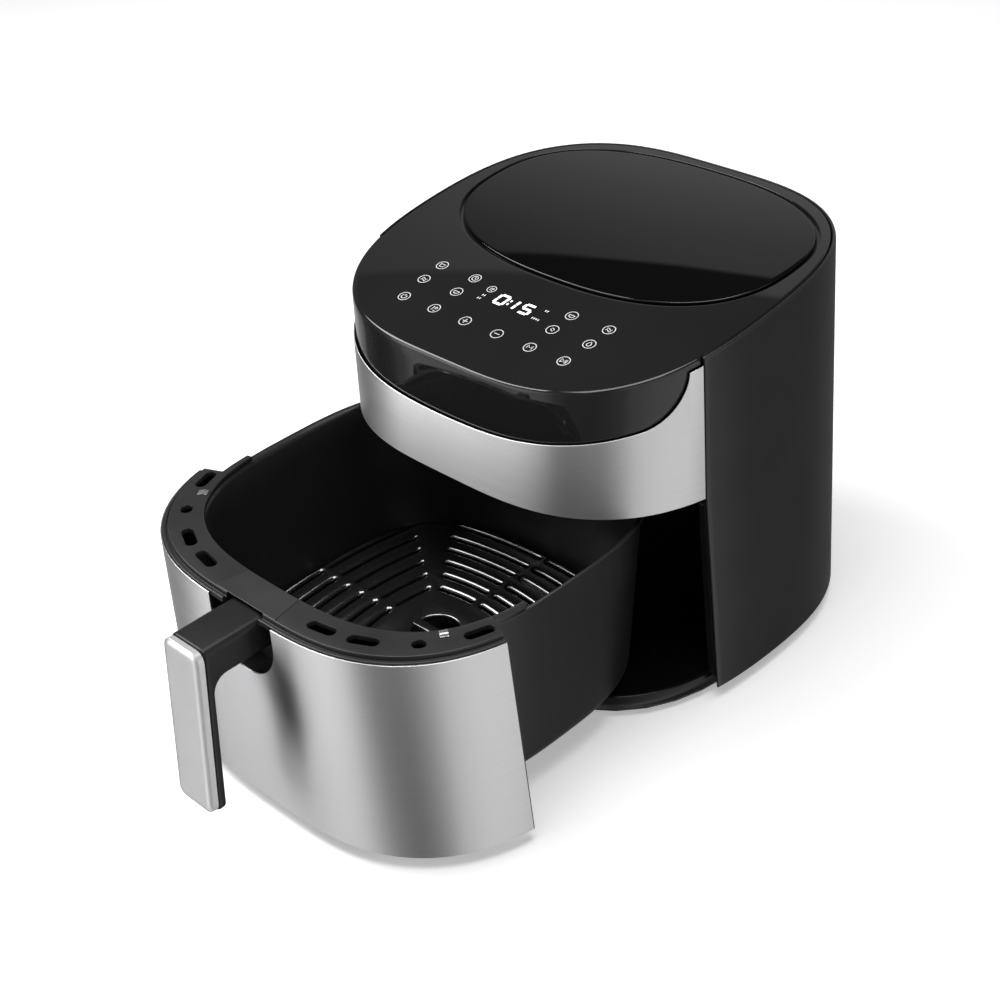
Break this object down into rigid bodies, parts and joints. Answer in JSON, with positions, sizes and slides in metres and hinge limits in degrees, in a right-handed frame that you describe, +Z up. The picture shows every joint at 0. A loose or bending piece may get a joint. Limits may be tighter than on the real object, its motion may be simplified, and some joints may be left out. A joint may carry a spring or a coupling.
{
  "type": "basket air fryer",
  "caption": "Countertop air fryer with a pull-out pan drawer, lift-out crisper plate, brushed steel front, sloping touch top, heater and fan.",
  "frame": {"origin": "on the floor under the middle of the object's box, with the drawer open as stored", "axes": "+Z up, -Y is the front where the drawer comes out, +X to the right seen from the front"},
  "size_m": [0.301, 0.5044, 0.2718],
  "materials": {
    "satin_black": "satin, fine texture",
    "gloss_black": "high gloss",
    "dark_plastic": "satin",
    "grey_plastic": "satin",
    "brushed_steel": "brushed",
    "silver_grip": "satin silver",
    "plain_steel": "plain rolled",
    "grey_liner": "satin coated",
    "non_stick": "non-stick coated",
    "black_rubber": "matt",
    "element_steel": "heat-tinted",
    "circuit_board": "lacquered",
    "display_glass": "gloss",
    "white_ceramic": "glazed"
  },
  "bodies": {
    "housing": {"outer_shell": "satin_black", "base_tray": "satin_black", "base_cover": "satin_black", "top_hood": "gloss_black", "lid_panel": "gloss_black", "front_frame": "dark_plastic", "rear_vent_grille": "dark_plastic", "rail_left": "dark_plastic", "rail_right": "dark_plastic", "switch_body": "dark_plastic", "steel_band": "brushed_steel", "base_screw_1": "plain_steel", "base_screw_2": "plain_steel", "base_screw_3": "plain_steel", "base_screw_4": "plain_steel", "exhaust_duct": "plain_steel", "chamber_top": "plain_steel", "element_clip_1": "plain_steel", "element_clip_2": "plain_steel", "heater_guard": "plain_steel", "heat_shield": "plain_steel", "motor": "plain_steel", "motor_bracket": "plain_steel", "temperature_sensor": "plain_steel", "cavity_liner": "grey_liner", "foot_1": "black_rubber", "foot_2": "black_rubber", "foot_3": "black_rubber", "foot_4": "black_rubber", "cord_inlet": "black_rubber", "heating_element": "element_steel", "control_board": "circuit_board", "power_board": "circuit_board", "display_module": "display_glass", "thermal_fuse": "white_ceramic"},
    "fan": {"motor_shaft": "plain_steel", "convection_fan": "plain_steel", "cooling_fan": "dark_plastic", "fan_nut": "plain_steel"},
    "switch_plunger": {"switch_plunger": "dark_plastic"},
    "drawer": {"basket": "non_stick", "drawer_frame": "dark_plastic", "front_panel": "brushed_steel", "panel_backing": "satin_black", "handle_pocket": "dark_plastic", "handle": "dark_plastic", "grip_plate": "silver_grip", "handle_screw_1": "plain_steel", "handle_screw_2": "plain_steel", "handle_bridge": "grey_plastic", "rim_clip_left": "plain_steel", "rim_clip_right": "plain_steel"},
    "plate": {"crisper_plate": "non_stick", "plate_bumper_1": "black_rubber", "plate_bumper_2": "black_rubber", "plate_bumper_3": "black_rubber", "plate_bumper_4": "black_rubber"}
  },
  "joints": [
    {"name": "drawer_slide", "type": "slide", "parent": "housing", "child": "drawer", "axis": [0, -1, 0], "range_m": [-0.17, 0.1]},
    {"name": "plate_lift", "type": "slide", "parent": "drawer", "child": "plate", "axis": [0, 0, 1], "range_m": [0, 0.1]},
    {"name": "fan_spin", "type": "hinge", "parent": "housing", "child": "fan", "pos_m": [0, 0.11205, 0.2], "axis": [0, 0, 1], "continuous": true},
    {"name": "switch_press", "type": "slide", "parent": "housing", "child": "switch_plunger", "axis": [0, 1, 0], "range_m": [0, 0.002], "stiffness_N_per_m": 250}
  ]
}
